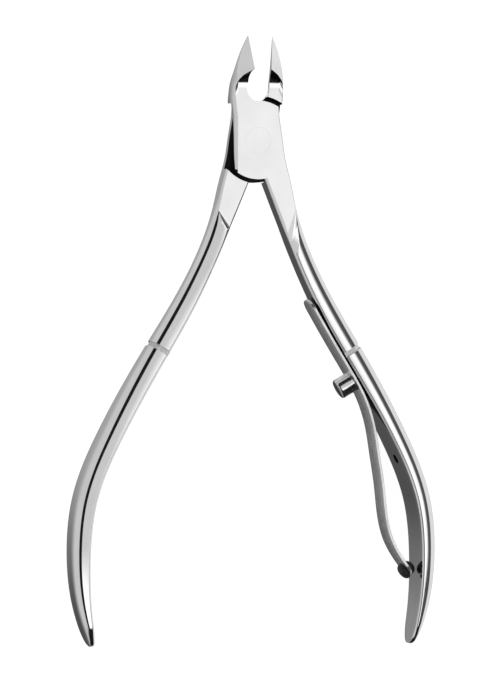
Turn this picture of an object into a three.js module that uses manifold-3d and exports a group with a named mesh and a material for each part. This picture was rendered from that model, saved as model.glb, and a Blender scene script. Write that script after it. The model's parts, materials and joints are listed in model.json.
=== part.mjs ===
// Cuticle nipper, 4.5 inch: two lapped levers on a flush rivet, a leaf spring
// screwed to one handle, and a rubber bumper on the spring's free end.
// Millimetres. It lies on its back: +Z is the pivot's direction and points at the
// front, +Y points at the jaws. The levers are drawn open, the way the spring leaves them.
import * as THREE from "three";
import { mergeVertices } from "three/addons/utils/BufferGeometryUtils.js";
import Module from "manifold-3d";

const wasm = await Module();
wasm.setup();

// ---------- driving dimensions ----------
const OPEN_HALF = THREE.MathUtils.degToRad(6.75); // each lever's turn from closed to rest

// The lap joint.
const PLATE_TOP = 2.15; // half the joint's full thickness
const LAP_GAP = 0.05; // from the middle plane to each plate's mating face
const PLATE_HALF_WIDTH = 4.25;
const PLATE_ARC = { jaw: 7.55, front: 7.25, rear: 7.85 }; // ends of the plates, round the pivot
const SHOULDER_ARC = { jaw: 8.5, handle: 8.1 }; // the other lever's step, same centre

// The rivet, ground flush on both sides.
const RIVET = { radius: 1.9, headRadius: 2.5, headDepth: 0.6, clearance: 0.05 };

// The jaws, in the closed position, measured from the pivot.
const JAW_TIP = 19.85;
const JAW_ROOT = 7;
const JAW_START = 5; // the jaw's blank starts inside the plate
const JAW_HALF_WIDTH = 3.9;
const JAW_TAPER = 2.2; // power of the outer side's curve
const JAW_STOCK = 3; // height of the blank above the edges' heel
const EDGE_HEEL = 13.4; // where the cutting edge starts
const EDGE_HEEL_Z = 5.2; // the edges stand proud of the joint's front
const EDGE_TIP_Z = 3.1;
const EDGE_CLEARANCE = 0.03; // from each cutting edge to the middle, when closed
const FACET_FALL = 0.85; // the front facets' slope away from the edge
const INNER_RELIEF = 0.22; // slope of the face behind the cutting edge
const INNER_RELIEF_START = 10;
const INNER_RELIEF_SKEW = 1.4; // the relief's lower end runs down to the outer side
// Hollow between the plate and the facets: a gentle sweep, a tighter bend and a straight wall.
const SCOOP = { y: 9.2, sweep: 7.3, sweepAngle: 13, bend: 2.4, wallAngle: 60 };
// Distance from the middle, and how far the hollow has dropped back there.
const SCOOP_DROP = [[-1.5, 0], [0, 0], [1.5, 0.07], [2.2, 0.23], [2.9, 0.54], [3.5, 0.95], [5, 2.77]];
const RELIEF_HOLE = { y: 9.75, radius: 2.25 }; // behind the blades, at rest
// The back of the jaws, seen from the side: y and z.
const JAW_BACK = [
  [JAW_START, -PLATE_TOP],
  [8, -PLATE_TOP],
  [9.4, -1.5],
  [11.4, -0.6],
  [12.6, 0.3],
  [13.8, 1.1],
  [15.2, 1.6],
  [JAW_TIP, 2.6],
];

// The handle: its flat inner face as a line on the plan, with the section's size there.
const HALF_DEPTH_MAX = 4.6; // the handle lies on this flat stretch
const HANDLE = [
  { x: 0.6, y: -5, thick: 5.1, deep: PLATE_TOP },
  { x: 2.0, y: -8.5, thick: 4.6, deep: PLATE_TOP },
  { x: 5.35, y: -16.7, thick: 3.6, deep: 2.2 },
  { x: 11.35, y: -30, thick: 3.7, deep: 2.55 },
  { x: 19.0, y: -43.1, thick: 3.9, deep: 3.4 },
  { x: 26.9, y: -57, thick: 3.6, deep: 4.5 },
  { x: 31.3, y: -67.8, thick: 3.4, deep: 4.78 },
  { x: 32.5, y: -78, thick: 3.2, deep: 4.66 },
  { x: 32.15, y: -87.4, thick: 2.4, deep: 4.05 },
  { x: 30.95, y: -95, thick: 1.1, deep: 3.3 },
];
const INNER_BEVEL = 0.4;
const FLAT_SHARE = { root: 0.96, handle: 0.4 }; // front flat's share of the thickness
const BEVEL_SHARE = 0.2; // the inner bevel's share of its width at the root
const CROWN_POWER = 3; // roundness of the outer side: 2 is an ellipse
const TIP_ROUND = 4.2; // length over which the handle's end rounds off
const TIP_SIZE = { deep: 0.3, thick: 0.55 }; // the very end's share of the section
const ROOT_END = 8; // distance below the pivot where the joint's box starts to turn
const ROOT_BLEND = 12; // length over which it turns into the handle
const HANDLE_STEPS = 40;
const CROWN_STEPS = 5;

// Decorative cut across each handle's front and outer side.
const NOTCH = { y: -40.3, width: 1, depth: 0.42 };

// The leaf spring on the front lever's handle.
const LEAF = { thickness: 0.45, width: 5.3, gap: 0.3 };
const LEAF_SPLIT_GAP = 0.3;
// Stations: y on the plan, and the leaf's middle above the handle's inner face.
const LEAF_LIFT = LEAF.gap + LEAF.thickness / 2;
const BEND_LINE = [-48.6, LEAF_LIFT + 0.1];
const TAIL = [[-29.5, 0.85], [-37, 0.7], [-42.8, LEAF_LIFT], [-45.8, LEAF_LIFT], BEND_LINE];
const ARM = [
  BEND_LINE,
  [-52.5, 1.6],
  [-57.5, 3.4],
  [-63, 5.0],
  [-69, 6.0],
  [-75, 5.35],
  [-78.8, 3.5],
  [-81.9, 1.15],
];

// Its slotted cheese-head screw, square to the inner face.
const SCREW = { y: -44.9, headRadius: 1.95, headHeight: 3.1, shankRadius: 1.1, shankLength: 2.6 };
const SCREW_SLOT = { width: 0.6, depth: 0.75 };
const SCREW_CHAMFER = 0.25;
const SCREW_CLEARANCE = { lever: 0.1, leaf: 0.15 };
const SPARE_HOLE = { y: -60.0, radius: 0.85, depth: 2.0 };

// The rubber bumper, a grommet through the leaf's end.
const BUMPER = { domeRadius: 1.6, domeHeight: 1.25, neckRadius: 0.8, footRadius: 1.35, footHeight: 1.3 };
const BUMPER_SHARE = 0.975; // its place along the free arm

const PLAN_SIDES = 48; // sides of a full circle in round cuts

// ---------- solids ----------
function toSolid(geometry) {
  const plain = new THREE.BufferGeometry();
  plain.setAttribute("position", geometry.getAttribute("position"));
  if (geometry.index) plain.setIndex(geometry.index);
  const merged = mergeVertices(plain, 1e-4);
  return new wasm.Manifold(new wasm.Mesh({
    numProp: 3,
    vertProperties: new Float32Array(merged.attributes.position.array),
    triVerts: new Uint32Array(merged.index.array),
  }));
}

function toGeometry(solid) {
  const data = solid.getMesh();
  const geometry = new THREE.BufferGeometry();
  geometry.setAttribute("position", new THREE.BufferAttribute(new Float32Array(data.vertProperties), 3));
  geometry.setIndex(new THREE.BufferAttribute(new Uint32Array(data.triVerts), 1));
  const flat = geometry.toNonIndexed();
  flat.computeVertexNormals();
  return flat;
}

const moved = (geometry, ...matrices) => {
  matrices.forEach((matrix) => geometry.applyMatrix4(matrix));
  return toSolid(geometry);
};
const shift = (x, y, z) => new THREE.Matrix4().makeTranslation(x, y, z);
const turn = (angle) => new THREE.Matrix4().makeRotationZ(angle);

// A prism of a plan outline, between two heights.
function prism(points, low, high) {
  const shape = new THREE.Shape(points.map(([x, y]) => new THREE.Vector2(x, y)));
  const geometry = new THREE.ExtrudeGeometry(shape, { depth: high - low, bevelEnabled: false });
  return moved(geometry, shift(0, 0, low));
}

// A disc on the pivot's direction, its corners on the true circle.
function disc(x, y, radius, low, high) {
  const geometry = new THREE.CylinderGeometry(radius, radius, high - low, PLAN_SIDES);
  return moved(geometry, new THREE.Matrix4().makeRotationX(Math.PI / 2), shift(x, y, (low + high) / 2));
}

// Everything on the far side of a plane, near the object.
function halfSpace(point, normal) {
  const size = 80;
  const geometry = new THREE.BoxGeometry(size, size, size);
  geometry.translate(0, 0, size / 2);
  const facing = new THREE.Quaternion().setFromUnitVectors(
    new THREE.Vector3(0, 0, 1), normal.clone().normalize());
  return moved(geometry, new THREE.Matrix4().makeRotationFromQuaternion(facing), shift(...point));
}

function box(low, high) {
  const size = high.map((value, i) => value - low[i]);
  const middle = high.map((value, i) => (value + low[i]) / 2);
  return moved(new THREE.BoxGeometry(...size), shift(...middle));
}

// A closed skin over rings that hold the same number of points, capped flat at both ends.
function skin(rings) {
  const count = rings[0].length;
  const positions = rings.flat().flatMap((p) => [p.x, p.y, p.z]);
  const index = [];
  for (let i = 0; i + 1 < rings.length; i++) {
    for (let j = 0; j < count; j++) {
      const a = i * count + j;
      const b = i * count + ((j + 1) % count);
      index.push(a, b, b + count, a, b + count, a + count);
    }
  }
  const last = (rings.length - 1) * count;
  for (let j = 1; j + 1 < count; j++) index.push(0, j + 1, j, last, last + j, last + j + 1);
  const geometry = new THREE.BufferGeometry();
  geometry.setAttribute("position", new THREE.Float32BufferAttribute(positions, 3));
  geometry.setIndex(index);
  const solid = toSolid(geometry);
  if (solid.volume() > 0) return solid;
  const turned = [];
  for (let i = 0; i < index.length; i += 3) turned.push(index[i], index[i + 2], index[i + 1]);
  geometry.setIndex(turned);
  return toSolid(geometry);
}

// ---------- the handle's line ----------
const faceCurve = new THREE.CatmullRomCurve3(
  HANDLE.map(({ x, y }) => new THREE.Vector3(x, y, 0)), false, "centripetal");
const sizeCurve = new THREE.SplineCurve(HANDLE.map(({ thick, deep }) => new THREE.Vector2(thick, deep)));
faceCurve.arcLengthDivisions = 400;

// The inner face at a share of the curve: point, direction along it and outward normal.
function faceAt(share) {
  const point = faceCurve.getPoint(share);
  const along = faceCurve.getTangent(share);
  return { share, point, along, out: new THREE.Vector3(-along.y, along.x, 0) };
}

// The same, found by its y on the plan, which falls all the way along the curve.
function faceAtY(y) {
  let low = 0;
  let high = 1;
  for (let i = 0; i < 40; i++) {
    const middle = (low + high) / 2;
    if (faceCurve.getPoint(middle).y > y) low = middle;
    else high = middle;
  }
  return faceAt(low);
}

// A point above the inner face, on the side of the other handle.
const above = (face, height, z = 0) =>
  face.point.clone().addScaledVector(face.out, -height).setZ(z);

function handleRing(share) {
  const face = faceAt(share);
  const size = sizeCurve.getPoint(share);
  const toEnd = Math.min(1, Math.abs(HANDLE.at(-1).y - face.point.y) / TIP_ROUND);
  const roundOff = THREE.MathUtils.lerp(TIP_SIZE.deep, 1, Math.sqrt(1 - (1 - toEnd) ** 2));
  const thick = size.x * THREE.MathUtils.lerp(TIP_SIZE.thick, 1, roundOff);
  const deep = Math.min(size.y, HALF_DEPTH_MAX) * roundOff;
  const rootShare = THREE.MathUtils.smoothstep(-face.point.y, ROOT_END, ROOT_END + ROOT_BLEND);
  const flat = thick * THREE.MathUtils.lerp(FLAT_SHARE.root, FLAT_SHARE.handle, rootShare);
  const bevel = Math.min(INNER_BEVEL * THREE.MathUtils.lerp(BEVEL_SHARE, 1, rootShare), thick / 4);
  const half = [[0, deep - bevel], [bevel, deep]];
  for (let i = 0; i <= CROWN_STEPS; i++) {
    const angle = (i / CROWN_STEPS) * (Math.PI / 2);
    half.push([
      flat + (thick - flat) * Math.sin(angle) ** (2 / CROWN_POWER),
      deep * Math.cos(angle) ** (2 / CROWN_POWER),
    ]);
  }
  half.at(-1)[1] = 0;
  const back = half.slice(0, -1).reverse().map(([out, z]) => [out, -z]);
  return [...half, ...back].map(([out, z]) => above(face, -out, z));
}

function handle() {
  const rings = [];
  for (let i = 0; i <= HANDLE_STEPS; i++) rings.push(handleRing(i / HANDLE_STEPS));
  const solid = skin(rings);
  const notch = faceAtY(NOTCH.y);
  const size = sizeCurve.getPoint(notch.share);
  const angle = Math.atan2(notch.out.y, notch.out.x);
  const place = (geometry) => moved(geometry, turn(angle), shift(notch.point.x, notch.point.y, 0));
  const margin = 2; // the cutter stands out of the handle by this
  const cutter = new THREE.BoxGeometry(size.x + 2 * margin, NOTCH.width, 2 * (size.y + margin));
  const core = new THREE.BoxGeometry(
    2 * (size.x - NOTCH.depth), NOTCH.width + margin, 2 * (size.y - NOTCH.depth));
  cutter.translate(size.x / 2, 0, 0);
  return solid.subtract(place(cutter).subtract(place(core)));
}

// ---------- the lap joint's plate, drawn as the front lever's ----------
function arc(radius, fromX, toX, sign, steps) {
  const start = Math.asin(fromX / radius);
  const end = Math.asin(toX / radius);
  const points = [];
  for (let i = 0; i <= steps; i++) {
    const angle = start + ((end - start) * i) / steps;
    points.push([radius * Math.sin(angle), sign * radius * Math.cos(angle)]);
  }
  return points;
}

const PLATE_SIDE = [[6.4, -7.4], [5.4, -4], [4.7, 0]]; // outer side, up from the handle
const plate = (lowerArc) => prism([
  ...arc(lowerArc, -PLATE_HALF_WIDTH, 1.4, -1, 14),
  ...PLATE_SIDE,
  ...arc(PLATE_ARC.jaw, PLATE_HALF_WIDTH, -PLATE_HALF_WIDTH, 1, 18),
], LAP_GAP, PLATE_TOP);

// ---------- the left jaw, drawn closed ----------
// The hollow's section as y and z, closed above it.
function scoopProfile(top) {
  const gentle = THREE.MathUtils.degToRad(SCOOP.sweepAngle);
  const steep = THREE.MathUtils.degToRad(SCOOP.wallAngle);
  const points = [[JAW_START - 1, PLATE_TOP], [SCOOP.y, PLATE_TOP]];
  const steps = 5;
  for (const [radius, start, end] of [[SCOOP.sweep, 0, gentle], [SCOOP.bend, gentle, steep]]) {
    const [y, z] = points.at(-1);
    for (let i = 1; i <= steps; i++) {
      const angle = start + ((end - start) * i) / steps;
      points.push([
        y + radius * (Math.sin(angle) - Math.sin(start)),
        z + radius * (Math.cos(start) - Math.cos(angle)),
      ]);
    }
  }
  const [y, z] = points.at(-1);
  return [...points, [y + (top - z) / Math.tan(steep), top], [JAW_START - 1, top]];
}

function jaw() {
  const outline = [[-EDGE_CLEARANCE, JAW_START], [-EDGE_CLEARANCE, JAW_TIP]];
  const steps = 14;
  for (let i = steps - 1; i >= 0; i--) {
    const share = i / steps;
    outline.push([-JAW_HALF_WIDTH * (1 - share ** JAW_TAPER), JAW_ROOT + share * (JAW_TIP - JAW_ROOT)]);
  }
  outline.push([-JAW_HALF_WIDTH, JAW_START]);
  const top = EDGE_HEEL_Z + JAW_STOCK;
  const blank = prism(outline, -PLATE_TOP, top);

  // Side profile, turned so that its first coordinate runs along Y and its second along Z.
  const past = [[JAW_TIP + 1, JAW_BACK.at(-1)[1]], [JAW_TIP + 1, top], [JAW_START, top]];
  const profile = new THREE.Shape([...JAW_BACK, ...past].map(([y, z]) => new THREE.Vector2(y, z)));
  const depth = 4 * JAW_HALF_WIDTH;
  const side = new THREE.ExtrudeGeometry(profile, { depth, bevelEnabled: false });
  const upright = new THREE.Matrix4().makeBasis(
    new THREE.Vector3(0, 1, 0), new THREE.Vector3(0, 0, 1), new THREE.Vector3(1, 0, 0));
  let solid = blank.intersect(moved(side, upright, shift(-depth / 2, 0, 0)));

  // Front facet, falling from the edge to the outer side and to the tip.
  const fall = (EDGE_HEEL_Z - EDGE_TIP_Z) / (JAW_TIP - EDGE_HEEL);
  const heel = [0, EDGE_HEEL, EDGE_HEEL_Z];
  solid = solid.subtract(halfSpace(heel, new THREE.Vector3(-FACET_FALL, fall, 1)));

  // Relief behind the edge, which leaves only the edge to meet the other jaw.
  const relief = halfSpace(heel, new THREE.Vector3(1, -fall * INNER_RELIEF, -INNER_RELIEF));
  const reliefRun = halfSpace([0, INNER_RELIEF_START, 0], new THREE.Vector3(-1, INNER_RELIEF_SKEW, 0));
  solid = solid.subtract(relief.intersect(reliefRun));

  // The hollow that rises from the plate's face to the facet.
  const rows = SCOOP_DROP.map(([x, drop]) =>
    scoopProfile(top + 1).map(([y, z]) => new THREE.Vector3(-x, y - drop, z)));
  return solid.subtract(skin(rows));
}

// ---------- the levers ----------
const turnZ = (solid, degrees) => solid.rotate([0, 0, degrees]);
const openDegrees = THREE.MathUtils.radToDeg(OPEN_HALF);
const flipOver = (solid) => solid.rotate([0, 180, 0]); // half a turn about Y
const jawClosed = jaw();
const handleSolid = handle();
const clear = 9; // half length of a cutter through the joint
const reliefHole = disc(0, RELIEF_HOLE.y, RELIEF_HOLE.radius, -clear, clear);

// The lap takes away the half on the far side of the middle plane, up to the shoulders.
function lapCut(radius, handleSide) {
  const reach = handleSide ? [[-20, -20], [20, 0]] : [[-20, 0], [20, 20]];
  const half = box([...reach[0], -clear], [...reach[1], clear]);
  return disc(0, 0, radius, -clear, LAP_GAP).intersect(half);
}

function lever(leftJaw, lowerArc) {
  const lowerCut = lapCut(SHOULDER_ARC.handle, true);
  const upperCut = lapCut(SHOULDER_ARC.jaw, false);
  return plate(lowerArc)
    .add(handleSolid.subtract(lowerCut))
    .add(leftJaw.subtract(upperCut))
    .subtract(reliefHole);
}

const rivetShape = (grow) => {
  const { radius, headRadius, headDepth } = RIVET;
  const top = PLATE_TOP + (grow > 0 ? 1 : 0);
  return disc(0, 0, radius + grow, -top, top)
    .add(disc(0, 0, headRadius + grow, PLATE_TOP - headDepth - grow, top))
    .add(disc(0, 0, headRadius + grow, -top, -(PLATE_TOP - headDepth - grow)));
};
const rivetBore = rivetShape(RIVET.clearance);

const frontJaw = turnZ(jawClosed, openDegrees);
const screwFace = faceAtY(SCREW.y);
const holeFace = faceAtY(SPARE_HOLE.y);

// A revolved solid whose axis stands on the inner face, pointing at the other handle.
function onFace(profile, face, sides = 32) {
  const geometry = new THREE.LatheGeometry(profile.map(([r, h]) => new THREE.Vector2(r, h)), sides);
  const up = new THREE.Quaternion().setFromUnitVectors(
    new THREE.Vector3(0, 1, 0), face.out.clone().negate());
  const facing = new THREE.Matrix4().makeRotationFromQuaternion(up);
  return moved(geometry, facing, shift(face.point.x, face.point.y, 0));
}
const rod = (radius, low, high) => [[0, low], [radius, low], [radius, high], [0, high]];

const boreRadius = SCREW.shankRadius + SCREW_CLEARANCE.lever;
const screwBore = onFace(rod(boreRadius, -SCREW.shankLength - 2 * SCREW_CLEARANCE.lever, 1), screwFace);
const spareHole = onFace(rod(SPARE_HOLE.radius, -SPARE_HOLE.depth, 1), holeFace);
const frontLever = lever(frontJaw, PLATE_ARC.front)
  .subtract(rivetBore)
  .subtract(screwBore)
  .subtract(spareHole);

// The rear lever is the front one turned over, with its jaw kept on the front side.
const rearJaw = turnZ(jawClosed.mirror([1, 0, 0]), -openDegrees);
const rearLever = flipOver(lever(flipOver(rearJaw), PLATE_ARC.rear)).subtract(rivetBore);

// ---------- spring, screw and bumper ----------
function leafPath(stations) {
  const points = stations.map(([y, height]) => above(faceAtY(y), height));
  return new THREE.CatmullRomCurve3(points, false, "centripetal");
}

// A strip of constant thickness along a plan curve, between two shares of its length.
function strip(curve, from, to, steps) {
  const left = [];
  const right = [];
  for (let i = 0; i <= steps; i++) {
    const share = from + ((to - from) * i) / steps;
    const point = curve.getPointAt(share);
    const along = curve.getTangentAt(share);
    const side = new THREE.Vector3(-along.y, along.x, 0).multiplyScalar(LEAF.thickness / 2);
    left.push([point.x - side.x, point.y - side.y]);
    right.push([point.x + side.x, point.y + side.y]);
  }
  return prism([...left, ...right.reverse()], -LEAF.width / 2, LEAF.width / 2);
}

const tailCurve = leafPath(TAIL);
const armCurve = leafPath(ARM);
const armLength = armCurve.getLength();
const leafHole = onFace(rod(SCREW.shankRadius + SCREW_CLEARANCE.leaf, -1, 4), screwFace);
const springTail = strip(tailCurve, 0, 1, 12).subtract(leafHole);

const bumperFace = {
  point: armCurve.getPointAt(BUMPER_SHARE),
  along: armCurve.getTangentAt(BUMPER_SHARE),
};
bumperFace.out = new THREE.Vector3(-bumperFace.along.y, bumperFace.along.x, 0);
const rubberGap = 0.05; // between the rubber and the leaf, all round
const bumperSides = 24;
const bumperHole = onFace(rod(BUMPER.neckRadius + rubberGap, -2, 2), bumperFace, bumperSides);
const springArm = strip(armCurve, LEAF_SPLIT_GAP / armLength, 1, 30).subtract(bumperHole);

const leafSide = LEAF.thickness / 2 + rubberGap;
const bumper = onFace([
  [0, -leafSide - BUMPER.footHeight],
  [BUMPER.footRadius * 0.6, -leafSide - BUMPER.footHeight],
  [BUMPER.footRadius, -leafSide - BUMPER.footHeight * 0.5],
  [BUMPER.footRadius, -leafSide],
  [BUMPER.neckRadius, -leafSide],
  [BUMPER.neckRadius, leafSide],
  [BUMPER.domeRadius, leafSide],
  [BUMPER.domeRadius, leafSide + BUMPER.domeHeight * 0.35],
  [BUMPER.domeRadius * 0.72, leafSide + BUMPER.domeHeight * 0.85],
  [0, leafSide + BUMPER.domeHeight],
], bumperFace, bumperSides);

const headBase = LEAF.gap + LEAF.thickness + 0.1;
const headTop = headBase + SCREW.headHeight;
const slot = new THREE.BoxGeometry(SCREW_SLOT.width, 2 * SCREW_SLOT.depth, 8);
const screwUp = new THREE.Quaternion().setFromUnitVectors(
  new THREE.Vector3(0, 1, 0), screwFace.out.clone().negate());
slot.rotateY(Math.PI / 2);
slot.translate(0, headTop, 0);
const screw = onFace([
  [0, -SCREW.shankLength],
  [SCREW.shankRadius, -SCREW.shankLength],
  [SCREW.shankRadius, headBase],
  [SCREW.headRadius, headBase],
  [SCREW.headRadius, headTop - SCREW_CHAMFER],
  [SCREW.headRadius - SCREW_CHAMFER, headTop],
  [0, headTop],
], screwFace).subtract(moved(
  slot,
  new THREE.Matrix4().makeRotationFromQuaternion(screwUp),
  shift(screwFace.point.x, screwFace.point.y, 0)));

// ---------- the assembly ----------
const polished = new THREE.MeshStandardMaterial({ color: 0xc9cacc, roughness: 0.12, metalness: 1 });
const springSteel = new THREE.MeshStandardMaterial({ color: 0xb4b5b7, roughness: 0.2, metalness: 1 });
const screwSteel = new THREE.MeshStandardMaterial({ color: 0xbfc0c2, roughness: 0.16, metalness: 1 });
const rubber = new THREE.MeshStandardMaterial({ color: 0x111111, roughness: 0.7, metalness: 0 });

function piece(name, solid, material) {
  const mesh = new THREE.Mesh(toGeometry(solid), material);
  mesh.name = name;
  return mesh;
}

// The frame's origin is on the supporting surface, under the middle of the object's box.
const levers = frontLever.boundingBox();
const nipper = new THREE.Group();
nipper.position.set(0, -(levers.min[1] + levers.max[1]) / 2, HALF_DEPTH_MAX);
nipper.add(
  piece("front_lever", frontLever, polished),
  piece("rear_lever", rearLever, polished),
  piece("pivot_rivet", rivetShape(0), polished),
  piece("spring_tail", springTail, springSteel),
  piece("spring_arm", springArm, springSteel),
  piece("spring_screw", screw, screwSteel),
  piece("spring_bumper", bumper, rubber),
);

const object = new THREE.Group();
object.add(nipper);
export default object;
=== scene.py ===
# Cuticle nipper: two lapped levers of polished steel, a leaf spring with a rubber
# bumper, its screw and the flush rivet, on a pale floor.
# Shapes are worked out in millimetres round the pivot (+Y jaws, +Z front), at rest.
# place() then puts them in the frame, in metres.
import json
import math

import bmesh
import bpy
import numpy as np
from mathutils import Matrix, Vector


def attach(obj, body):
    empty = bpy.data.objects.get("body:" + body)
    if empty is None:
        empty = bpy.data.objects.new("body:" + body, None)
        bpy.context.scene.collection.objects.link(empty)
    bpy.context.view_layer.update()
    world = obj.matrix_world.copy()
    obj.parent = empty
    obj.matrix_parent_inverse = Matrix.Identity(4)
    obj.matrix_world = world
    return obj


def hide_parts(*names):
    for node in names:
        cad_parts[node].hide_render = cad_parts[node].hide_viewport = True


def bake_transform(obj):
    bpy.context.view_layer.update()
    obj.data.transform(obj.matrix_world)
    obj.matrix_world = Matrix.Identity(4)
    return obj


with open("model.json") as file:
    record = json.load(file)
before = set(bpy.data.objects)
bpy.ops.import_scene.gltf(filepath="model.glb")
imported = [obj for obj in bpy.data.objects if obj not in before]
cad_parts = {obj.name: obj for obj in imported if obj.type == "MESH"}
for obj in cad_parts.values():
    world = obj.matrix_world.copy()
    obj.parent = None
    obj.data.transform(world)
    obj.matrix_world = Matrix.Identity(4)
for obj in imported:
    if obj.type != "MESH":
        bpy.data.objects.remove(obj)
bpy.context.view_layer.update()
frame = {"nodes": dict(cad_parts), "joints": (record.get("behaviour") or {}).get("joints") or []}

JOINTS = {joint["name"]: joint for joint in frame["joints"]}
PIVOT = Vector(JOINTS["lever_pivot"]["pos_m"])
MM = 0.001
SCENE = bpy.context.scene

# ---------- dimensions, millimetres ----------
OPEN_HALF = math.radians(6.75)  # each lever's turn from closed
PLATE_TOP = 2.15  # half the joint's thickness
LAP_GAP = 0.05  # from the middle to each plate's mating face
PLATE_LEFT = 4.4  # from the pivot to the plate's free side
PLATE_RIGHT = [(3.0, -6.6), (3.6, 0), (3.4, 8.4)]  # its other side, in the handle's root
SIDE_CHAMFER = (0.44, 0.98)  # across and down
# Ends of the plates, and of the shoulders that they turn in.
PLATE_ARC = {"jaw": 7.55, "front": 7.25, "rear": 7.85}
SHOULDER_ARC = {"jaw": 8.5, "handle": 8.1}
RIVET = {"radius": 1.9, "head": 2.5, "depth": 0.6, "seam": 0.004, "edge": 0.006}

JAW_START = 5.0  # a jaw's lower end, inside the joint
JAW_ROOT = 7.0  # where it starts to narrow
JAW_TIP = 19.85
JAW_HALF_WIDTH = {"left": 3.9, "right": 4.1}
JAW_TAPER = 2.2  # power of the narrowing
JAW_STOCK = 3.0  # left above the edge for the cuts
# The cutting edge: where its lower end is, its height at both ends and half the closed gap.
EDGE_HEEL = 13.4
EDGE_HEEL_Z = 5.195
EDGE_TIP_Z = 3.1
EDGE_CLEARANCE = 0.03
FACET_FALL = 0.85  # slope of the ground facet towards the outer side
INNER_RELIEF = 0.22  # slope of the face under the edge
INNER_RELIEF_START = 10.0
INNER_RELIEF_SKEW = 1.4  # the relief reaches lower at the outer side
# Hollow between the plate and the facets: a gentle sweep, a bend, then a steep wall. By the
# distance from the middle: y where the bend starts, and its radius.
# The last value: faces of the hollow whose normal leans further than this along y get near-black steel,
# painted shade.
SCOOP = {"sweep": 7.3, "sweep_angle": 13, "wall_angle": 80, "painted_shade_from": 0.55}
SCOOP_BEND = {
    "x": [0, 1.0, 1.9, 2.85, 3.4, 4.2],
    "y": [11.1, 11.2, 11.3, 11.4, 10.5, 9.3],
    "radius": [3.0, 2.4, 1.7, 0.35, 0.2, 0.2],
}
# Chamfer along a jaw's outer side, by y: height of its lower edge and its slope inwards.
JAW_CHAMFER = {
    "y": [8, 9.4, 11.4, 12.6, 13.8, 15.2, 17.5, 19.85],
    "low": [1.17, 1.25, 1.3, 1.35, 1.6, 1.95, 2.4, 2.85],
    "slope": [0.449, 0.42, 0.3, 0.22, 0.2, 0.2, 0.15, 0.1],
}
CHAMFER_HEIGHT = 3.5  # of its cutter
# The hole between the jaws' roots widens to the back.
RELIEF_HOLE = {"y": 9.75, "radius": 2.25, "back_radius": 2.75}
# Height of a jaw's back, by y.
JAW_BACK = {
    "y": [JAW_START, 8, 9.4, 11.4, 12.6, 13.8, 15.2, JAW_TIP],
    "z": [-PLATE_TOP, -PLATE_TOP, -1.5, -0.6, 0.3, 1.1, 1.6, 2.6],
}

# The handle: x and y of its inner face, thickness and half depth there. The first
# stations lie inside the joint, where the handle's outer side is the plate's.
HALF_DEPTH_MAX = 4.6
HANDLE = [
    (-3.4, 5.0, 8.3, 2.3),
    (-2.4, 2.5, 7.25, 2.3),
    (-1.0, -1.0, 6.35, 2.3),
    (0.6, -5.0, 5.3, 2.3),
    (2.0, -8.5, 4.75, 2.32),
    (5.35, -16.7, 3.7, 2.27),
    (11.35, -30.0, 3.7, 2.6),
    (19.0, -43.1, 3.9, 3.4),
    (26.9, -57.0, 3.6, 4.4),
    (31.3, -67.8, 3.4, 4.6),
    (32.5, -78.0, 3.18, 4.5),
    (32.15, -87.4, 2.4, 4.0),
    (30.95, -94.97, 1.1, 3.3),
]
TIP_ROUND = 4.2  # length of the handle's rounded end
TIP_DEPTH = 0.3  # share of the depth left at the very end
TIP_THICKNESS = 0.55  # share of the thickness that the rounding leaves alone
NOTCH = {"y": -40.3, "width": 1.0, "depth": 0.42, "front_share": 0.6, "side_share": 0.45}

# Each handle's section. By y: power of the crown across the thickness and width of the inner
# bevel. Then the power over the depth, the root's extra depth and the crown's fall outwards.
SECTION = {
    "front": {"y": [-90, -60, -40, -20, -8], "power": [2.8, 3.0, 3.2, 3.0, 3.0], "side": 2.6,
              "bevel": [0.3, 0.4, 0.4, 0.5, 0.45], "rise": 0.2, "tilt": 0.04},
    "rear": {"y": [-90, -60, -40, -20, -8], "power": [4.0, 4.6, 4.8, 4.6, 4.2], "side": 2.5,
             "bevel": [0.35, 0.45, 0.45, 0.4, 0.25], "rise": 0.2, "tilt": 0.055},
}
ROOT_SQUARE = (9.0, 19.0)  # between these, by -y, the plate's section turns into the handle's
ROOT_TILT = (14.0, 20.0)  # and here the crown's fall sets in
ROOT_DEEP = {"y": -15, "near": 4.0, "far": 14.0}  # deeper round this y, for the joint's grinding
ROOT_BEVEL = (-20.0, -15.0)  # the bevel takes up the depth past the plate's, by y
FLAT_END, SIDE_START = 0.46, 0.54  # the corner's place along the chamfered section
INNER_ROUNDING = 0.1
# Where the joint's ground face runs out on the handle: a point, the way the edge runs, the
# radius there and the slope that follows.
RUN_OUT = {
    "front": {"point": (6.8, -14.7), "along": (-1.12, -3.55), "radius": 14.0, "slope": 60},
    "rear": {"point": (6.5, -14.7), "along": (-1.4, -2.0), "radius": 0.5, "slope": 27},
}

# The last value: above this y, the leaf's side toward the handle gets painted shade.
LEAF = {"thickness": 0.5, "width": 5.3, "edge": 0.08, "end_radius": 2.3, "painted_shade_to": -57}
SCREW = {"y": -44.9, "head": 1.95, "height": 3.1, "shank": 1.1, "chamfer": 0.22}
SLOT = {"width": 0.6, "depth": 0.75}
SPARE_HOLE = {"y": -60.0, "radius": 0.85, "depth": 2.0, "chamfer": 0.12}
THREAD = {"radius": 1.15, "depth": 2.8}
# The leaf's middle line: y, and its distance from the handle's inner face.
LEAF_LIFT = 0.525
LEAF_LINE = [
    (-29.5, 0.85), (-37, 0.6), (-42.8, LEAF_LIFT), (-46.8, LEAF_LIFT + 0.02),
    (-52.5, 1.6), (-57.5, 3.4), (-63, 5.0), (-69, 6.0), (-75, 5.35), (-78.8, 3.5), (-81.9, 1.15),
]
# The bumper: its share of the leaf's length, its radii and the height of its foot.
BUMPER = {"share": 0.98, "dome": 1.6, "neck": 0.8, "foot": 1.4, "foot_height": 1.35}

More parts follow.
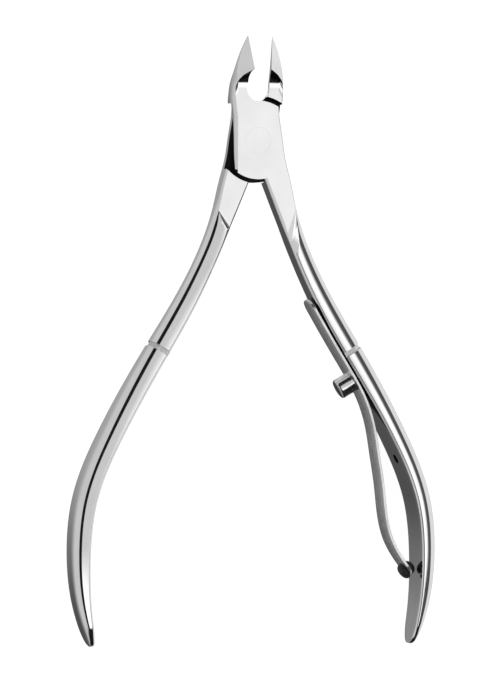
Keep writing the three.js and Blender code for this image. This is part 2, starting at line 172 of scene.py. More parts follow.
# Material slots after each piece's main one: of the levers, then of the leaf and the screw. Slot 2 of the
# levers and slot 1 of the leaf and the screw take near-black steel: painted shade in the joint's gaps, in
# holes and slots, and on the leaf's side toward the handle.
# Slot 3 of the levers takes near-white, mostly non-metal steel: painted brightness on the bored wall of
# the hole between the jaws.
GROUND, PAINTED_SHADE, BORED_PAINTED_BRIGHT, SATIN = 1, 2, 3, 4
PAINTED_DARK = 1


# ---------- meshes ----------
def build(name, verts, faces, material=0):
    """An object with one closed mesh, its normals outwards."""
    mesh = bpy.data.meshes.new(name)
    mesh.from_pydata([tuple(v) for v in verts], [], faces)
    piece = bpy.data.objects.new(name, mesh)
    SCENE.collection.objects.link(piece)
    tidy = bmesh.new()
    tidy.from_mesh(mesh)
    bmesh.ops.remove_doubles(tidy, verts=tidy.verts, dist=1e-5)
    bmesh.ops.recalc_face_normals(tidy, faces=tidy.faces)
    for face in tidy.faces:
        face.material_index = material
    tidy.to_mesh(mesh)
    tidy.free()
    return piece


def skin(name, rings, material=0):
    """A closed skin over rings of the same number of points, capped at both ends."""
    count = len(rings[0])
    verts = [point for ring in rings for point in ring]
    faces = []
    for i in range(len(rings) - 1):
        for j in range(count):
            a, b = i * count + j, i * count + (j + 1) % count
            faces.append((a, b, b + count, a + count))
    last = (len(rings) - 1) * count
    faces.append(tuple(range(count)))
    faces.append(tuple(last + j for j in range(count)))
    return build(name, verts, faces, material)


def prism(name, outline, low, high, material=0):
    return skin(name, [[(x, y, z) for x, y in outline] for z in (low, high)], material)


def disc(name, radius, low, high, sides=128, material=0):
    turns = [2 * math.pi * i / sides for i in range(sides)]
    outline = [(radius * math.cos(t), radius * math.sin(t)) for t in turns]
    return prism(name, outline, low, high, material)


def lathe(name, profile, place, sides=64, material=0):
    """A solid of revolution about Z, from (radius, height) pairs that start and end on the axis."""
    verts, faces, rows = [], [], []
    for radius, height in profile:
        turns = range(1 if radius == 0 else sides)
        rows.append([len(verts) + k for k in turns])
        for k in turns:
            angle = 2 * math.pi * k / sides
            verts.append((radius * math.cos(angle), radius * math.sin(angle), height))
    for low, high in zip(rows, rows[1:]):
        for k in range(sides):
            below = [low[k % len(low)], low[(k + 1) % len(low)]]
            above = [high[(k + 1) % len(high)], high[k % len(high)]]
            faces.append(tuple(dict.fromkeys(below + above)))
    faces = [face for face in faces if len(face) > 2]
    piece = build(name, verts, faces, material)
    piece.data.transform(place)
    return piece


def half_space(name, point, normal, size=80.0, material=0):
    """A block on the side of a plane that its normal points to."""
    square = ((-size, -size), (size, -size), (size, size), (-size, size))
    rows = [[(x, y, z) for x, y in square] for z in (0, size)]
    piece = skin(name, rows, material)
    facing = Vector(normal).to_track_quat("Z", "Y").to_matrix().to_4x4()
    piece.data.transform(Matrix.Translation(point) @ facing)
    return piece


def combine(target, tool, operation="DIFFERENCE"):
    """Cuts or joins tool into target and removes tool."""
    step = target.modifiers.new("cut", "BOOLEAN")
    step.operation = operation
    step.solver = "EXACT"
    step.object = tool
    bpy.context.view_layer.update()
    result = bpy.data.meshes.new_from_object(target.evaluated_get(bpy.context.evaluated_depsgraph_get()))
    target.modifiers.clear()
    target.data = result
    bpy.data.objects.remove(tool)
    return target


FLIP_OVER = Matrix.Rotation(math.pi, 4, "Y")


# ---------- the handle's line ----------
class Track:
    """A natural cubic spline through stations; the first two values are x and y."""

    def __init__(self, stations):
        self.values = np.array(stations, float)
        steps = np.linalg.norm(np.diff(self.values[:, :2], axis=0), axis=1)
        self.knots = np.concatenate([[0.0], np.cumsum(steps)])
        count = len(self.knots)
        matrix = np.eye(count)
        right = np.zeros_like(self.values)
        for i in range(1, count - 1):
            matrix[i, i - 1:i + 2] = steps[i - 1], 2 * (steps[i - 1] + steps[i]), steps[i]
            rise = (self.values[i + 1] - self.values[i]) / steps[i]
            right[i] = 6 * (rise - (self.values[i] - self.values[i - 1]) / steps[i - 1])
        self.bend = np.linalg.solve(matrix, right)
        self.length = self.knots[-1]

    def at(self, s):
        i = int(np.clip(np.searchsorted(self.knots, s) - 1, 0, len(self.knots) - 2))
        gap = self.knots[i + 1] - self.knots[i]
        a = (self.knots[i + 1] - s) / gap
        b = 1 - a
        curve = (a ** 3 - a) * self.bend[i] + (b ** 3 - b) * self.bend[i + 1]
        return a * self.values[i] + b * self.values[i + 1] + curve * gap * gap / 6

    def frame(self, s):
        """Point, direction and left-hand normal on the plan."""
        step = 0.01
        ahead = self.at(min(s + step, self.length))[:2] - self.at(max(s - step, 0))[:2]
        along = ahead / np.linalg.norm(ahead)
        return self.at(s)[:2], along, np.array([-along[1], along[0]])

    def find(self, y):
        low, high = 0.0, self.length
        for _ in range(40):
            middle = (low + high) / 2
            low, high = (middle, high) if self.at(middle)[1] > y else (low, middle)
        return low


FACE = Track(HANDLE)


def smoothstep(value, low, high):
    share = min(1.0, max(0.0, (value - low) / (high - low)))
    return share * share * (3 - 2 * share)


def rounded(points, corners, radius, steps=4):
    """The polyline with the named corners turned into arcs."""
    result = []
    for i, point in enumerate(points):
        if i not in corners:
            result.append(tuple(point))
            continue
        before, here, after = (np.array(points[k], float) for k in (i - 1, i, i + 1))
        back, ahead = before - here, after - here
        reach = min(radius, 0.45 * np.linalg.norm(back), 0.45 * np.linalg.norm(ahead))
        start = here + back / np.linalg.norm(back) * reach
        end = here + ahead / np.linalg.norm(ahead) * reach
        for k in range(steps + 1):
            t = k / steps
            result.append(tuple((1 - t) ** 2 * start + 2 * t * (1 - t) * here + t * t * end))
    return result


def outer_quarter(thick, deep, bevel, power, side, tilt, root, steps=26):
    """From the front flat to the middle of the outer side: a chamfered box that turns into a crown."""
    across, down = SIDE_CHAMFER
    points = []
    for i in range(steps + 1):
        t = i / steps
        angle = t * math.pi / 2
        wide = thick - bevel
        out = wide * math.sin(angle) ** (2 / power)
        height = max(0.0, math.cos(angle)) ** (2 / side)
        crown = np.array([bevel + out, height * (deep - tilt * out)])
        if t <= FLAT_END:
            square = np.array([bevel + (wide - across) * t / FLAT_END, deep])
        elif t >= SIDE_START:
            square = np.array([thick, (deep - down) * (1 - t) / (1 - SIDE_START)])
        else:
            share = (t - FLAT_END) / (SIDE_START - FLAT_END)
            square = np.array([thick - across * (1 - share), deep - down * share])
        points.append((1 - root) * crown + root * square)
    return points


def handle_ring(s, style):
    """The handle's section across its inner face's line, as a closed ring."""
    _, y, thick, deep = FACE.at(s)
    point, _, out = FACE.frame(s)
    to_end = min(1.0, abs(HANDLE[-1][1] - y) / TIP_ROUND)
    round_off = TIP_DEPTH + (1 - TIP_DEPTH) * math.sqrt(max(0.0, 1 - (1 - to_end) ** 2))
    thick *= TIP_THICKNESS + (1 - TIP_THICKNESS) * round_off
    deep = min(deep, HALF_DEPTH_MAX) * round_off
    look = SECTION[style]
    tilt = look["tilt"] * smoothstep(-y, *ROOT_TILT)
    deep += look["rise"] * (1 - smoothstep(abs(y - ROOT_DEEP["y"]), ROOT_DEEP["near"], ROOT_DEEP["far"]))
    power = np.interp(y, look["y"], look["power"])
    bevel = min(np.interp(y, look["y"], look["bevel"]), thick / 3.2)
    if y > look["y"][-2]:
        bevel += max(0.0, deep - PLATE_TOP) * smoothstep(y, *ROOT_BEVEL)
    root = 1 - smoothstep(-y, *ROOT_SQUARE)
    half = [(0, 0), (0, 0.5 * (deep - bevel)), (0, deep - bevel), (bevel, deep)]
    quarter = outer_quarter(thick, deep, bevel, power, look["side"], tilt, root)
    half = rounded(half + [tuple(quarter[2])], (2, 3), INNER_ROUNDING)[:-1]
    half += [tuple(p) for p in quarter[2:]]
    ring = half + [(u, -z) for u, z in reversed(half[1:-1])]
    return [(point[0] + out[0] * u, point[1] + out[1] * u, z) for u, z in ring]


def handle(style, steps=170):
    """The handle with its decorative notch."""
    rings = []
    for i in range(steps + 1):
        t = i / steps
        # Stations crowd towards the tip, where the end rounds off.
        rings.append(handle_ring(FACE.length * (t + 0.06 * math.sin(math.pi * t)), style))
    piece = skin("handle", rings)
    s = FACE.find(NOTCH["y"])
    _, _, thick, deep = FACE.at(s)
    point, _, out = FACE.frame(s)
    depth, width = NOTCH["depth"], NOTCH["width"]
    around = [(-1, -width / 2), (thick + 2, -width / 2), (thick + 2, width / 2), (-1, width / 2)]
    outside = prism("notch", around, -deep - 2, deep + 2, material=GROUND)
    front, side = thick * NOTCH["front_share"], deep * NOTCH["side_share"]
    kept = [
        (-2, -deep + depth), (front, -deep + depth), (thick - depth, -side),
        (thick - depth, side), (front, deep - depth), (-2, deep - depth),
    ]
    core = skin("core", [[(u, v, z) for u, z in kept] for v in (-width, width)], material=GROUND)
    cutter = combine(outside, core)
    turn = Matrix.Rotation(math.atan2(out[1], out[0]), 4, "Z")
    cutter.data.transform(Matrix.Translation((*point, 0)) @ turn)
    return combine(piece, cutter)


# ---------- the joint and the jaws ----------
def arc(radius, from_x, to_x, sign, steps):
    """Points round the pivot between two values of x, above it or below it by the sign."""
    start, end = math.asin(from_x / radius), math.asin(to_x / radius)
    angles = [start + (end - start) * i / steps for i in range(steps + 1)]
    return [(radius * math.sin(a), sign * radius * math.cos(a)) for a in angles]


def joint_plate(style):
    """The left part of the plate: its right side lies inside the handle's root."""
    top_left = (-PLATE_LEFT, PLATE_RIGHT[-1][1])
    outline = arc(PLATE_ARC[style], -PLATE_LEFT, 1.4, -1, 40) + PLATE_RIGHT + [top_left]
    piece = prism("plate", outline, LAP_GAP, PLATE_TOP + 0.1, material=0)
    # The mating face gets near-black steel: painted shade in the gap between the plates.
    for face in piece.data.polygons:
        if face.normal.z < -0.9:
            face.material_index = PAINTED_SHADE
    across, down = SIDE_CHAMFER
    chamfer = half_space("chamfer", (-PLATE_LEFT, 0, PLATE_TOP - down), (-down, 0, across))
    return combine(piece, chamfer)


def ground_face(style, side):
    """Cutter above the joint's front or back face, with a rounded end across the handle."""
    look = RUN_OUT[style]
    radius = look["radius"]
    far, high = -40, 12
    profile = [(far, PLATE_TOP), (0, PLATE_TOP)]
    slope = math.radians(look["slope"])
    for i in range(1, 13):
        angle = slope * i / 12
        profile.append((radius * math.sin(angle), PLATE_TOP + radius * (1 - math.cos(angle))))
    u, z = profile[-1]
    profile += [(u + (high - z) / math.tan(slope), high), (far, high)]
    along = Vector((*look["along"], 0)).normalized()
    past = Vector((along.y, -along.x, 0))
    if past.y > 0:
        past = -past
    start = Vector((*look["point"], 0))
    rows = []
    for reach in (-30, 30):
        rows.append([start + along * reach + past * u + Vector((0, 0, z)) for u, z in profile])
    piece = skin("ground", rows)
    if side < 0:
        piece.data.transform(Matrix.Scale(-1, 4, (0, 0, 1)))
        piece.data.flip_normals()
    return piece


def scoop_profile(bend_start, bend, top):
    """The hollow's section as y and z, closed above it."""
    gentle, steep = math.radians(SCOOP["sweep_angle"]), math.radians(SCOOP["wall_angle"])
    sweep = SCOOP["sweep"]
    profile = [(JAW_START - 1, PLATE_TOP), (bend_start - sweep * math.sin(gentle), PLATE_TOP)]
    for radius, start, end, steps in ((sweep, 0, gentle, 10), (bend, gentle, steep, 20)):
        y, z = profile[-1]
        for i in range(1, steps + 1):
            angle = start + (end - start) * i / steps
            profile.append((y + radius * (math.sin(angle) - math.sin(start)),
                            z + radius * (math.cos(start) - math.cos(angle))))
    y, z = profile[-1]
    return profile + [(y + (top - z) / math.tan(steep), top), (JAW_START - 1, top)]


def scoop(top):
    """The hollow across the left jaw; its steep part gets near-black steel, painted shade."""
    rows = []
    for i in range(60):
        x = 1.5 - i / 9
        bend_start = np.interp(-x, SCOOP_BEND["x"], SCOOP_BEND["y"])
        bend = np.interp(-x, SCOOP_BEND["x"], SCOOP_BEND["radius"])
        rows.append([(x, y, z) for y, z in scoop_profile(bend_start, bend, top)])
    piece = skin("scoop", rows)
    for face in piece.data.polygons:
        if abs(face.normal.y) > SCOOP["painted_shade_from"]:
            face.material_index = PAINTED_SHADE
    return piece


def jaw(half_width):
    """The left jaw, drawn closed."""
    steps = 60
    curve = []
    for i in range(steps + 1):
        share = i / steps
        x = -half_width * (1 - share ** JAW_TAPER)
        curve.append((min(x, -EDGE_CLEARANCE), JAW_ROOT + share * (JAW_TIP - JAW_ROOT)))
    outline = [(-EDGE_CLEARANCE, JAW_START), (-half_width, JAW_START)] + curve[:-1]
    outline.append((-EDGE_CLEARANCE, JAW_TIP))
    top = EDGE_HEEL_Z + JAW_STOCK
    piece = prism("jaw", outline, -PLATE_TOP, top)
    smooth = Track(list(zip(JAW_BACK["y"], JAW_BACK["z"])))
    under = [tuple(smooth.at(smooth.length * i / 60)[:2]) for i in range(61)]
    low_end, high_end = JAW_START - 1, JAW_TIP + 1
    profile = under + [(high_end, JAW_BACK["z"][-1]), (high_end, top + 1)]
    profile += [(low_end, top + 1), (low_end, -PLATE_TOP)]
    side = skin("side", [[(x, y, z) for y, z in profile] for x in (-15, 5)])
    combine(piece, side, "INTERSECT")

    # The chamfer along the outer side, which starts as the plate's and thins out to the tip.
    tall = CHAMFER_HEIGHT
    rows = []
    for (x, y), (nx, ny) in zip([(-half_width, low_end)] + curve, [(-1.0, 0.0)] + outward(curve)):
        low = float(np.interp(y, JAW_CHAMFER["y"], JAW_CHAMFER["low"]))
        slope = float(np.interp(y, JAW_CHAMFER["y"], JAW_CHAMFER["slope"]))
        corners = [(0, low), (-slope * tall, low + tall), (2, low + tall), (2, low)]
        rows.append([(x + nx * u, y + ny * u, z) for u, z in corners])
    combine(piece, skin("chamfer", rows))
    fall = (EDGE_HEEL_Z - EDGE_TIP_Z) / (JAW_TIP - EDGE_HEEL)
    heel = (0, EDGE_HEEL, EDGE_HEEL_Z)
    combine(piece, half_space("facet", heel, (-FACET_FALL, fall, 1), material=SATIN))
    relief = half_space("relief", heel, (1, -fall * INNER_RELIEF, -INNER_RELIEF))
    run = half_space("run", (0, INNER_RELIEF_START, 0), (-1, INNER_RELIEF_SKEW, 0))
    combine(piece, combine(relief, run, "INTERSECT"))
    return combine(piece, scoop(top + 2))


def outward(curve):
    """Unit normals of a plan curve, on its left side."""
    normals = []
    for i in range(len(curve)):
        a, b = curve[max(0, i - 1)], curve[min(len(curve) - 1, i + 1)]
        dx, dy = b[0] - a[0], b[1] - a[1]
        size = math.hypot(dx, dy)
        normals.append((-dy / size, dx / size))
    return normals


def lever(left_jaw, style, name):
    """One forging: plate, handle and the jaw across the joint."""
    reach = 9
    body = joint_plate(style)
    root = handle(style)
    # The lap, the plate's end, the step and the rivet's bore cut faces of near-black steel: painted shade
    # in the joint's gaps.
    lap = disc("lap", SHOULDER_ARC["handle"], -reach, LAP_GAP, material=PAINTED_SHADE)
    combine(root, lap)
    combine(body, root, "UNION")
    combine(body, ground_face(style, 1))
    combine(body, ground_face(style, -1))
    end = arc(PLATE_ARC["jaw"], -7.2, 7.2, 1, 90)
    around = [(12, 2.27), (12, 14), (-12, 14), (-12, 2.27)]
    combine(body, prism("top", end + around, -reach, reach, material=PAINTED_SHADE))
    step = disc("step", SHOULDER_ARC["jaw"], -reach, LAP_GAP, material=PAINTED_SHADE)
    combine(left_jaw, step)
    combine(body, left_jaw, "UNION")
    front_side = {"front": 1, "rear": -1}[style]
    opening, back = RELIEF_HOLE["radius"], RELIEF_HOLE["back_radius"]
    flare = [(0, -reach), (back, -reach), (back, -PLATE_TOP)]
    flare += [(opening, PLATE_TOP), (opening, reach), (0, reach)]
    at_hole = Matrix.Translation((0, RELIEF_HOLE["y"], 0)) @ Matrix.Scale(front_side, 4, (0, 0, 1))
    # Its bored wall gets near-white, mostly non-metal steel: painted brightness.
    hole = lathe("hole", flare, at_hole, sides=128, material=BORED_PAINTED_BRIGHT)
    if front_side < 0:
        hole.data.flip_normals()
    combine(body, hole)
    combine(body, disc("bore", RIVET["head"] + RIVET["seam"], -reach, reach, material=PAINTED_SHADE))
    body.name = name
    return body


left_jaw = jaw(JAW_HALF_WIDTH["left"])
left_jaw.data.transform(Matrix.Rotation(OPEN_HALF, 4, "Z"))
front = lever(left_jaw, "front", "forged_lever_front")
# The rear lever is made turned over, where its jaw is on the left too.
right_jaw = jaw(JAW_HALF_WIDTH["right"])
mirror = Matrix.Scale(-1, 4, (1, 0, 0))
right_jaw.data.transform(FLIP_OVER @ Matrix.Rotation(-OPEN_HALF, 4, "Z") @ mirror)
right_jaw.data.flip_normals()
rear = lever(right_jaw, "rear", "forged_lever_rear")
rear.data.transform(FLIP_OVER)


# ---------- spring, screw, bumper and rivet ----------
def face_matrix(point, along, out):
    """Places a solid made about Z on a face: Z points away from it, X along the handle."""
    up = Vector((-out[0], -out[1], 0))
    run = Vector((along[0], along[1], 0))
    across = up.cross(run)
    rows = Matrix((run, across, up)).transposed().to_4x4()
    return Matrix.Translation((point[0], point[1], 0)) @ rows


def leaf_track():
    """The leaf's middle line on the plan."""
    points = []
    for y, lift in LEAF_LINE:
        point, _, out = FACE.frame(FACE.find(y))
        points.append((point[0] - out[0] * lift, point[1] - out[1] * lift))
    return Track(points)


LEAF_TRACK = leaf_track()
SCREW_FACE = face_matrix(*FACE.frame(FACE.find(SCREW["y"])))
BUMPER_FACE = face_matrix(*LEAF_TRACK.frame(LEAF_TRACK.length * BUMPER["share"]))


def leaf_spring():
    """The strip: round in plan at both ends, its long edges rolled over a little."""
    half, edge = LEAF["thickness"] / 2, LEAF["edge"]
    end_radius = LEAF["end_radius"]
    rings = []
    steps = 190
    crowding = 0.045  # draws the stations towards both ends
    for i in range(steps + 1):
        t = i / steps
        s = LEAF_TRACK.length * (t - crowding * math.sin(2 * math.pi * t) / (2 * math.pi) * 2)
        point, _, out = LEAF_TRACK.frame(s)
        from_end = min(s, LEAF_TRACK.length - s)
        wide = LEAF["width"] / 2
        if from_end < end_radius:
            wide -= end_radius - math.sqrt(max(0, end_radius ** 2 - (end_radius - from_end) ** 2))
        corners = [(-half, 0), (-half, wide), (half, wide), (half, 0)]
        section = rounded(corners, (1, 2), edge, steps=3)[1:-1]
        section = section + [(u, -z) for u, z in reversed(section)]
        rings.append([(point[0] + out[0] * u, point[1] + out[1] * u, z) for u, z in section])
    piece = skin("leaf_spring", rings)
    bore = SCREW["shank"] + 0.1
    combine(piece, lathe("hole", [(0, -1), (bore, -1), (bore, 4), (0, 4)], SCREW_FACE))
    neck = BUMPER["neck"] - 0.02
    combine(piece, lathe("hole", [(0, -2), (neck, -2), (neck, 2), (0, 2)], BUMPER_FACE))
    # The side that lies along the handle is dark: painted shade, in near-black steel.
    for face in piece.data.polygons:
        if face.normal.x > 0.6 and face.center.y > LEAF["painted_shade_to"]:
            face.material_index = PAINTED_DARK
    return piece


def cheese_head_screw():
    """The screw on the leaf, with a chamfered head, a slot and a plain shank."""
    base = LEAF_LIFT + LEAF["thickness"] / 2 + 0.01
    top = base + SCREW["height"]
    head, cut, shank = SCREW["head"], SCREW["chamfer"], SCREW["shank"]
    profile = [(0, -2.6), (shank, -2.6), (shank, base), (head - 0.08, base), (head, base + 0.08)]
    profile += [(head, top - cut - 0.05), (head - 0.02, top - cut)]
    profile += [(head - cut * 0.45, top - cut * 0.3), (head - cut, top)]
    profile += [(head * 0.5, top + 0.03), (0, top + 0.04)]
    piece = lathe("slotted_screw", profile, Matrix.Identity(4), sides=96)
    half = SLOT["width"] / 2
    outline = [(-4, -half), (4, -half), (4, half), (-4, half)]
    # The slot's faces get near-black steel: painted shade in it.
    combine(piece, prism("slot", outline, top - SLOT["depth"], top + 1, material=PAINTED_DARK))
    piece.data.transform(SCREW_FACE)
    return piece


def rubber_bumper():
    """A grommet pushed through the spring: a dome on one side, a foot on the other."""
    side = LEAF["thickness"] / 2
    dome, neck, foot = BUMPER["dome"], BUMPER["neck"], BUMPER["foot"]
    rim = 0.22
    rise = BUMPER["foot_height"] - rim
    profile = [(0, -side - rim - rise)]
    for i in range(1, 9):
        angle = math.pi / 2 * i / 8
        profile.append((foot * math.sin(angle), -side - rim - rise * math.cos(angle)))
    profile += [(foot - 0.08, -side - 0.03), (foot - 0.3, -side - 0.005), (neck, -side)]
    profile += [(neck, side), (dome - 0.35, side + 0.005), (dome - 0.1, side + 0.04)]
    for i in range(11):
        angle = math.pi / 2 * i / 10
        profile.append((dome * math.cos(angle) ** 0.8 if i < 10 else 0, side + 0.25 + math.sin(angle)))
    return lathe("bumper_grommet", profile, BUMPER_FACE, sides=64)


def flush_rivet():
    """A rivet with both heads sunk in the plates and ground flush."""
    radius, head, depth, edge = (RIVET[key] for key in ("radius", "head", "depth", "edge"))
    top = PLATE_TOP
    profile = [
        (0, -top), (head - edge, -top), (head, -top + edge), (head, -top + depth), (radius, -top + depth),
        (radius, top - depth), (head, top - depth), (head, top - edge), (head - edge, top), (0, top),
    ]
    return lathe("polished_rivet", profile, Matrix.Identity(4), sides=128)


leaf = leaf_spring()
screw = cheese_head_screw()
grommet = rubber_bumper()
rivet = flush_rivet()
# The thread's hole and the spare hole get near-black steel inside: painted shade.
radius, depth = THREAD["radius"], THREAD["depth"]
thread = [(0, -depth), (radius, -depth), (radius, 1), (0, 1)]
combine(front, lathe("thread", thread, SCREW_FACE, material=PAINTED_SHADE))
radius, depth, chamfer = (SPARE_HOLE[key] for key in ("radius", "depth", "chamfer"))
drilled = [(0, -depth - 0.4), (radius, -depth), (radius, -chamfer)]
drilled += [(radius + chamfer, 0), (radius + chamfer, 1), (0, 1)]
hole_face = face_matrix(*FACE.frame(FACE.find(SPARE_HOLE["y"])))
combine(front, lathe("drilled", drilled, hole_face, material=PAINTED_SHADE))
PIECES = {"front": front, "rear": rear, "leaf": leaf, "screw": screw, "grommet": grommet, "rivet": rivet}


def place(piece, smooth_angle=32.0):
    """Millimetres round the pivot to metres in the frame, with smooth shading off sharp edges."""
    mesh = piece.data
    mesh.transform(Matrix.Translation(PIVOT) @ Matrix.Scale(MM, 4))
    for polygon in mesh.polygons:
        polygon.use_smooth = True
    edit = bmesh.new()
    edit.from_mesh(mesh)
    bmesh.ops.dissolve_degenerate(edit, edges=edit.edges, dist=5e-7)
    # A cut can leave a fin: two slivers back to back on one edge.
    fins = set()
    for edge in edit.edges:
        if len(edge.link_faces) > 2:
            fins.update(sorted(edge.link_faces, key=lambda face: face.calc_area())[:-2])
    bmesh.ops.delete(edit, geom=list(fins), context="FACES")
    limit = math.radians(smooth_angle)
    for edge in edit.edges:
        edge.smooth = len(edge.link_faces) == 2 and edge.calc_face_angle(0) < limit
    edit.to_mesh(mesh)
    edit.free()
    mesh.update()


for piece in PIECES.values():
    place(piece)


# ---------- materials ----------
def node(tree, kind, inputs=None, **settings):
    """A new node; an input given as a socket is linked and any other is set."""
    made = tree.nodes.new(kind)
    for key, value in settings.items():
        setattr(made, key, value)
    for key, value in (inputs or {}).items():
        if isinstance(value, bpy.types.NodeSocket):
            tree.links.new(value, made.inputs[key])
        else:
            made.inputs[key].default_value = value
    return made


def surface(name, colour, metallic, **constants):
    """A material with a Principled shader, and object coordinates for its textures."""
    material = bpy.data.materials.new(name)
    material.use_nodes = True
    tree = material.node_tree
    tree.nodes.clear()
    values = {"Base Color": (*colour, 1), "Metallic": metallic, **constants}
    shader = node(tree, "ShaderNodeBsdfPrincipled", values)
    output = node(tree, "ShaderNodeOutputMaterial")
    tree.links.new(shader.outputs["BSDF"], output.inputs["Surface"])
    place_at = node(tree, "ShaderNodeTexCoord").outputs["Object"]
    return material, tree, shader, place_at


def noise(tree, place_at, scale, detail=2.0, stretch=(1, 1, 1)):
    mapped = node(tree, "ShaderNodeMapping", {"Vector": place_at, "Scale": stretch})
    values = {"Vector": mapped.outputs["Vector"], "Scale": scale, "Detail": detail}
    return node(tree, "ShaderNodeTexNoise", values)


def ranged(tree, value, low, high, start=0.35, end=0.65):
    return node(tree, "ShaderNodeMapRange", {
        "Value": value, "From Min": start, "From Max": end, "To Min": low, "To Max": high,
    }).outputs["Result"]


def tint(tree, value, dark, light):
    ramp = node(tree, "ShaderNodeValToRGB", {"Fac": value})
    ramp.color_ramp.elements[0].position = 0.3
    ramp.color_ramp.elements[0].color = (*dark, 1)
    ramp.color_ramp.elements[1].position = 0.7
    ramp.color_ramp.elements[1].color = (*light, 1)
    return ramp.outputs["Color"]


def relief(tree, shader, height, strength, distance):
    bump = node(tree, "ShaderNodeBump", {"Height": height, "Strength": strength, "Distance": distance})
    tree.links.new(bump.outputs["Normal"], shader.inputs["Normal"])


def steel(name, dark, light, rough, grain, stretch, bump, metallic=1.0):
    """Steel with a slow drift of tone, fine finishing lines, and a faint relief of the same lines."""
    material, tree, shader, place_at = surface(name, light, metallic)
    drift = noise(tree, place_at, 160, 3)
    lines = noise(tree, place_at, grain, 4, stretch)
    tree.links.new(tint(tree, drift.outputs["Fac"], dark, light), shader.inputs["Base Color"])
    tree.links.new(ranged(tree, lines.outputs["Fac"], *rough), shader.inputs["Roughness"])
    relief(tree, shader, lines.outputs["Fac"], bump, 0.00002)
    return material


polished = steel(
    "polished_steel", (0.80, 0.80, 0.81), (0.86, 0.86, 0.87),
    rough=(0.05, 0.11), grain=2600, stretch=(1, 0.25, 1), bump=0.02)
ground = steel(
    "ground_steel", (0.74, 0.735, 0.74), (0.84, 0.835, 0.84),
    rough=(0.42, 0.56), grain=5200, stretch=(1, 0.12, 1), bump=0.12)
satin = steel(
    "satin_facet_steel", (0.8, 0.795, 0.8), (0.88, 0.875, 0.88),
    rough=(0.42, 0.56), grain=5200, stretch=(1, 0.12, 1), bump=0.12, metallic=0.6)
# Near-black steel, painted shade: for the joint's gaps, the holes, the screw's slot, the hollow's steep
# wall and the leaf's side toward the handle.
painted_shade = steel(
    "painted_shade_steel", (0.012, 0.012, 0.013), (0.03, 0.03, 0.032),
    rough=(0.45, 0.7), grain=4200, stretch=(1, 1, 0.3), bump=0.1)
strip_steel = steel(
    "spring_strip_steel", (0.74, 0.74, 0.75), (0.82, 0.82, 0.83),
    rough=(0.26, 0.36), grain=3800, stretch=(1, 0.1, 1), bump=0.05)
# Near-white and mostly not metal, so that it reads bright under the even light: painted brightness on the
# bored wall of the hole between the jaws.
bored_painted_bright = steel(
    "bored_steel_painted_bright", (0.9, 0.9, 0.9), (0.95, 0.95, 0.95),
    rough=(0.55, 0.7), grain=5200, stretch=(1, 1, 0.2), bump=0.08, metallic=0.15)
turned = steel(
    "turned_steel", (0.74, 0.74, 0.75), (0.83, 0.83, 0.84),
    rough=(0.1, 0.2), grain=5200, stretch=(1, 1, 0.15), bump=0.06)

rubber, rubber_tree, rubber_shader, rubber_at = surface("black_rubber_grommet", (0.01, 0.01, 0.01), 0.0)
speckle = noise(rubber_tree, rubber_at, 5200, 4)
rubber_tree.links.new(
    tint(rubber_tree, speckle.outputs["Fac"], (0.006, 0.006, 0.006), (0.014, 0.014, 0.014)),
    rubber_shader.inputs["Base Color"])
matt = ranged(rubber_tree, speckle.outputs["Fac"], 0.5, 0.75)
rubber_tree.links.new(matt, rubber_shader.inputs["Roughness"])
relief(rubber_tree, rubber_shader, speckle.outputs["Fac"], 0.3, 0.00004)


def dress(piece, *materials):
    """Fills the piece's material slots in order."""
    for i, material in enumerate(materials):
        if i < len(piece.data.materials):
            piece.data.materials[i] = material
        else:
            piece.data.materials.append(material)


dress(front, polished, ground, painted_shade, bored_painted_bright, satin)
dress(rear, polished, ground, painted_shade, bored_painted_bright, satin)
dress(leaf, strip_steel, painted_shade)
dress(screw, turned, painted_shade)
dress(grommet, rubber)
dress(rivet, polished)
cad_looks = {"spring_screw": turned, "pivot_rivet": polished}
for name, cad_node in frame["nodes"].items():
    dress(cad_node, cad_looks.get(name, polished))

# ---------- bodies ----------
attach(front, "front")
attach(rear, "rear")
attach(rivet, "front")
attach(screw, "front")
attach(grommet, "leaf")
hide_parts("front_lever")
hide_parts("rear_lever")
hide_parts("pivot_rivet")
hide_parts("spring_screw")
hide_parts("spring_bumper")
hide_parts("spring_tail", "spring_arm")
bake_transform(leaf)

# ---------- floor, light and camera ----------
floor_mesh = bpy.data.meshes.new("floor")
reach = 6.0
corners = [(-reach, -reach, 0), (reach, -reach, 0), (reach, reach, 0), (-reach, reach, 0)]
floor_mesh.from_pydata(corners, [], [(0, 1, 2, 3)])
floor = bpy.data.objects.new("floor", floor_mesh)
floor.location.z = -0.00002  # just clear of the tool
SCENE.collection.objects.link(floor)
glow = {"Roughness": 0.9, "Emission Color": (1, 1, 1, 1), "Emission Strength": 0.9}
pale = surface("pale_floor", (0.2, 0.2, 0.2), 0.0, **glow)[0]
floor.data.materials.append(pale)
floor.visible_glossy = False

world = bpy.data.worlds.new("studio")
SCENE.world = world
world.use_nodes = True
tree = world.node_tree
tree.nodes.clear()
direction = node(tree, "ShaderNodeTexCoord").outputs["Generated"]
parts = node(tree, "ShaderNodeSeparateXYZ", {"Vector": direction})
way_x, way_y, way_z = parts.outputs


def math_node(operation, a, b=0.0):
    return node(tree, "ShaderNodeMath", {0: a, 1: b}, operation=operation).outputs["Value"]


def mix(share, a, b):
    return node(tree, "ShaderNodeMix", {0: share, 2: a, 3: b}, data_type="FLOAT").outputs[0]


def step_between(value, low, high):
    return node(tree, "ShaderNodeMapRange", {
        "Value": value, "From Min": low, "From Max": high, "To Min": 0.0, "To Max": 1.0,
    }, interpolation_type="SMOOTHSTEP").outputs["Result"]


# The angle from straight up, in degrees.
off_zenith = math_node("MULTIPLY", math_node("ARCCOSINE", way_z), 180 / math.pi)
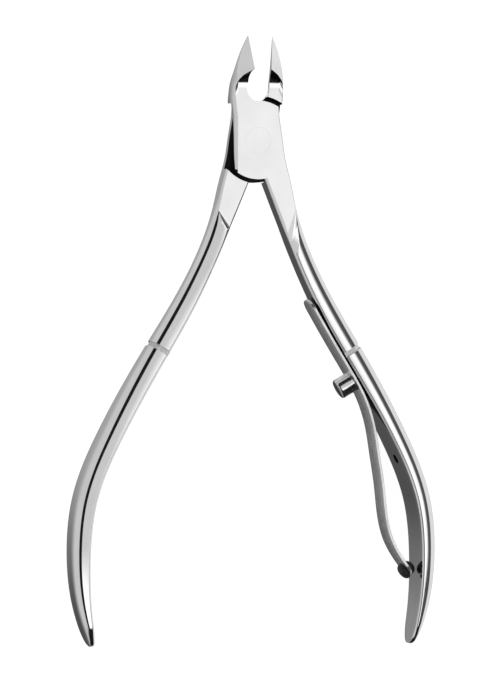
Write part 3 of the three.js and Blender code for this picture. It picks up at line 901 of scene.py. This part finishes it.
# A soft box overhead, in three steps across: it is brightest at its far side and at the
# handles' end.
overhead = mix(step_between(way_x, 0.16, 0.31), 0.67, 1.04)
overhead = mix(step_between(way_x, 0.31, 0.35), overhead, 1.35)
overhead = mix(step_between(way_y, -0.06, -0.2), overhead, 1.3)
# Dark flags round it, sharp and black on one side, soft and gray on the other.
black, gray = 0.008, 0.085
far_side = step_between(way_x, 0.3, 0.42)
flag = mix(far_side, black, gray)
flag_full = mix(far_side, 29, 42)
flag_full = mix(step_between(way_y, -0.06, -0.2), flag_full, 29)
flag = mix(step_between(way_y, -0.2, -0.35), flag, black)
sky = mix(step_between(off_zenith, 25, flag_full), overhead, flag)
# Low light from all sides but the handles' end, which is black.
low_light = mix(step_between(way_x, -0.5, 0.5), 0.66, 0.84)
low_light = mix(step_between(way_y, -0.45, -0.7), low_light, black)
sky = mix(step_between(off_zenith, 64, 74), sky, low_light)
# Below, the light falls off; less of it comes from the handles' end.
under = mix(step_between(way_y, -0.2, 0.25), 0.085, 0.42)
sky = mix(step_between(off_zenith, 128, 162), sky, under)
# Only reflections see the pattern; all else is lit evenly.
plain = 1.0
seen = mix(node(tree, "ShaderNodeLightPath").outputs["Is Glossy Ray"], plain, sky)
background = node(tree, "ShaderNodeBackground", {"Color": (1, 1, 1, 1), "Strength": seen})
world_out = node(tree, "ShaderNodeOutputWorld")
tree.links.new(background.outputs["Background"], world_out.inputs["Surface"])

lamp = bpy.data.lights.new("soft_box", "AREA")
lamp.shape = "DISK"
lamp.size = 1.2
lamp.energy = 1.5
soft_box = bpy.data.objects.new("soft_box", lamp)
lamp_at = Vector((-0.3, 0.3, 1.0))
soft_box.location = lamp_at
soft_box.rotation_euler = lamp_at.to_track_quat("Z", "Y").to_euler()
soft_box.visible_glossy = False
SCENE.collection.objects.link(soft_box)

TILT = math.radians(16.5)  # towards the rear lever's handle
ROLL = math.radians(0.4)
DISTANCE = 1.0
VIEW_HEIGHT = 126.981 * MM
SENSOR = 36.0
LOOK_AT = PIVOT + Vector((-0.708, -36.89, 0)) * MM
back = Vector((-math.sin(TILT), 0, math.cos(TILT)))
up = Vector((0, 1, 0))
right = up.cross(back)
turn = Matrix((right, up, back)).transposed().to_4x4() @ Matrix.Rotation(ROLL, 4, "Z")
camera = bpy.data.objects.new("camera", bpy.data.cameras.new("camera"))
camera.data.sensor_fit = "VERTICAL"
camera.data.sensor_height = SENSOR
camera.data.lens = SENSOR * DISTANCE / VIEW_HEIGHT
camera.data.clip_end = 20
camera.matrix_world = Matrix.Translation(LOOK_AT + back * DISTANCE) @ turn
SCENE.collection.objects.link(camera)
SCENE.camera = camera
SCENE.view_settings.view_transform = "Standard"
